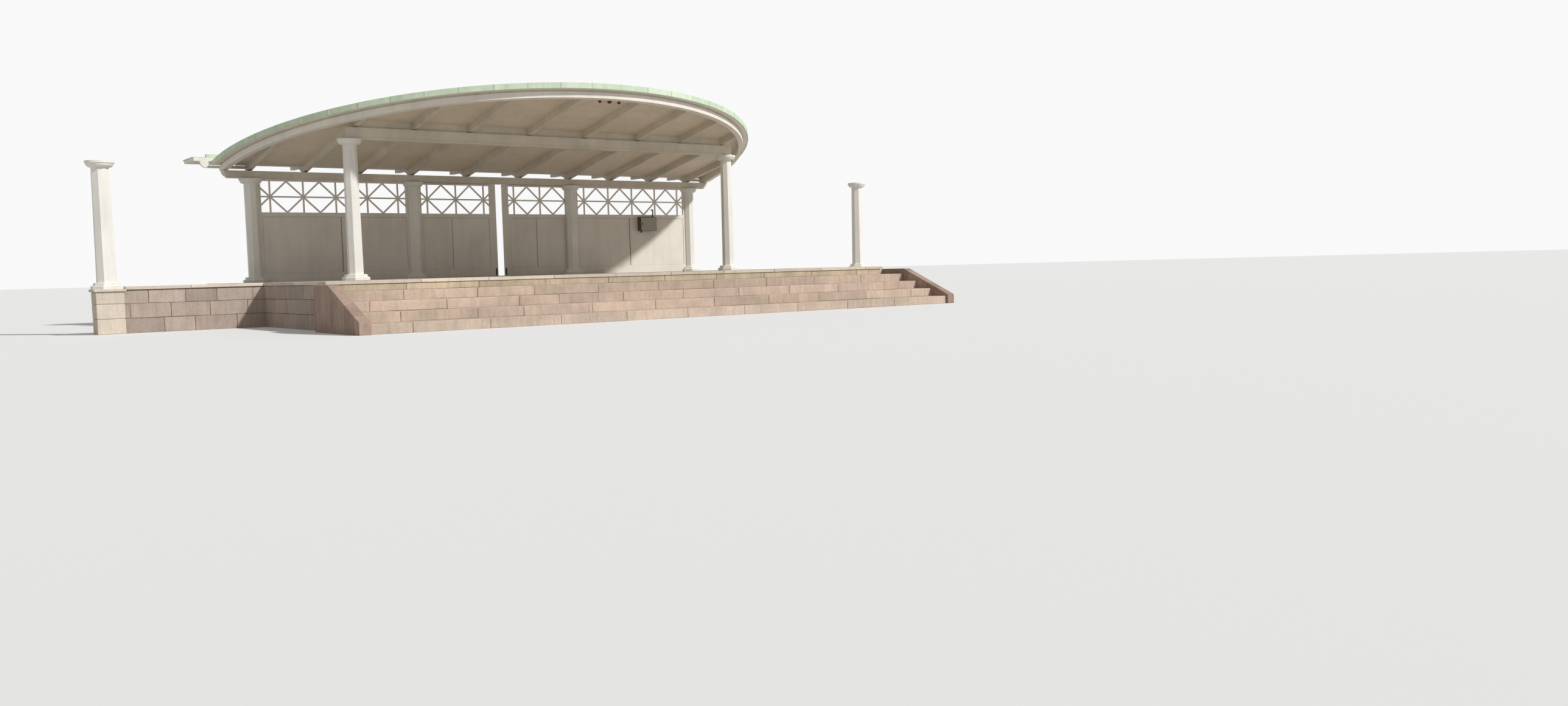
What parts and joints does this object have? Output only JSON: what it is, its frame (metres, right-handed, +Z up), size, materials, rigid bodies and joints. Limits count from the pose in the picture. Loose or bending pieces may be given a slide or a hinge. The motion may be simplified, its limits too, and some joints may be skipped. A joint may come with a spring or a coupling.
{
  "type": "open-air bandstand",
  "caption": "Open timber bandstand with a sloping round-fronted roof, lattice rear wall with sliding doors and broad stone steps.",
  "frame": {"origin": "on the ground under the middle of the rear wall, where the masonry base stands", "axes": "+X runs along the rear wall to the right as the audience sees it, -Y points from the wall at the audience, +Z is up"},
  "size_m": [18.34, 9.901, 4.611],
  "materials": {
    "white_timber": "old off-white paint",
    "granite": "weathered, split face",
    "concrete": "weathered, trowelled",
    "green_copper": "green weathered sheet",
    "grey_steel": "satin grey paint",
    "dark_steel": "worn dark paint",
    "rusty_steel": "rusty"
  },
  "bodies": {
    "bandstand": {"stage_base": "granite", "floor_slab": "concrete", "step_1": "granite", "step_2": "granite", "step_3": "granite", "step_4": "granite", "left_cheek_wall": "granite", "right_cheek_wall": "granite", "left_wing_wall": "concrete", "right_wing_wall": "concrete", "left_column_plinth": "concrete", "right_column_plinth": "concrete", "left_free_column": "white_timber", "right_free_column": "white_timber", "left_front_column": "white_timber", "right_front_column": "white_timber", "left_end_post": "white_timber", "left_mid_post": "white_timber", "right_mid_post": "white_timber", "right_end_post": "white_timber", "left_bay_wall": "white_timber", "right_bay_wall": "white_timber", "left_bay_lattice": "white_timber", "right_bay_lattice": "white_timber", "door_track": "dark_steel", "long_beam": "white_timber", "head_plate": "white_timber", "front_beam": "white_timber", "beam_blocking": "white_timber", "left_rafters": "white_timber", "right_rafters": "white_timber", "ceiling_boards": "white_timber", "fascia_ring": "white_timber", "frieze_ring": "white_timber", "metal_roof": "green_copper", "rear_eave": "white_timber", "eave_metal": "green_copper", "eave_brackets": "white_timber", "switch_box": "grey_steel", "ceiling_lights": "rusty_steel"},
    "left_door": {"left_door_panel": "white_timber", "left_door_lattice": "white_timber"},
    "right_door": {"right_door_panel": "white_timber", "right_door_lattice": "white_timber"}
  },
  "joints": [
    {"name": "left_door_slide", "type": "slide", "parent": "bandstand", "child": "left_door", "axis": [1, 0, 0], "range_m": [-1.9, 0]},
    {"name": "right_door_slide", "type": "slide", "parent": "bandstand", "child": "right_door", "axis": [1, 0, 0], "range_m": [-0.17, 1.9]}
  ]
}
